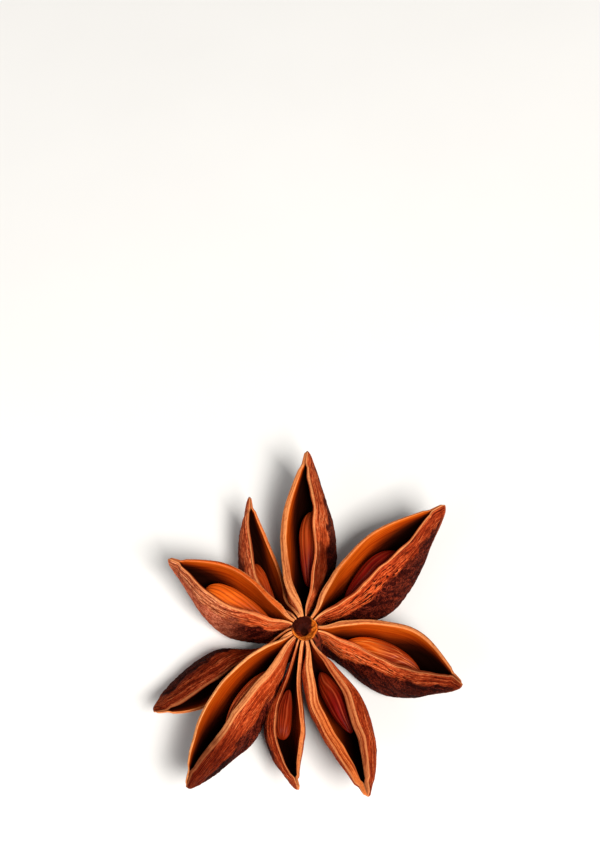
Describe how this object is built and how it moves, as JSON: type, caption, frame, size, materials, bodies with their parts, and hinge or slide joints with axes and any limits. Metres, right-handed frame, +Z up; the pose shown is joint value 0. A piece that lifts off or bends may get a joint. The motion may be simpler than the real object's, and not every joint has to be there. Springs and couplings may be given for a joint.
{
  "type": "star anise pod",
  "caption": "Dried star-shaped spice pod with boat-shaped carpels split open along the top and glossy seeds lying inside them.",
  "frame": {"origin": "on the ground, in the middle of the broken stalk's flat end, under the middle of the hub", "axes": "+Z up, out of the open side of the pod; +Y towards the tip of the carpel that points up the picture; +X to the right of it"},
  "size_m": [0.0306, 0.0369, 0.0098],
  "materials": {
    "husk": "dry and fibrous outside, smooth satin ochre inside",
    "seed": "glossy, ridged lengthways"
  },
  "bodies": {
    "root": {"husk": "husk", "seed_top": "seed", "seed_top_left": "seed", "seed_left": "seed", "seed_bottom_left": "seed", "seed_bottom": "seed", "seed_bottom_right": "seed", "seed_right": "seed", "seed_top_right": "seed"}
  },
  "joints": []
}
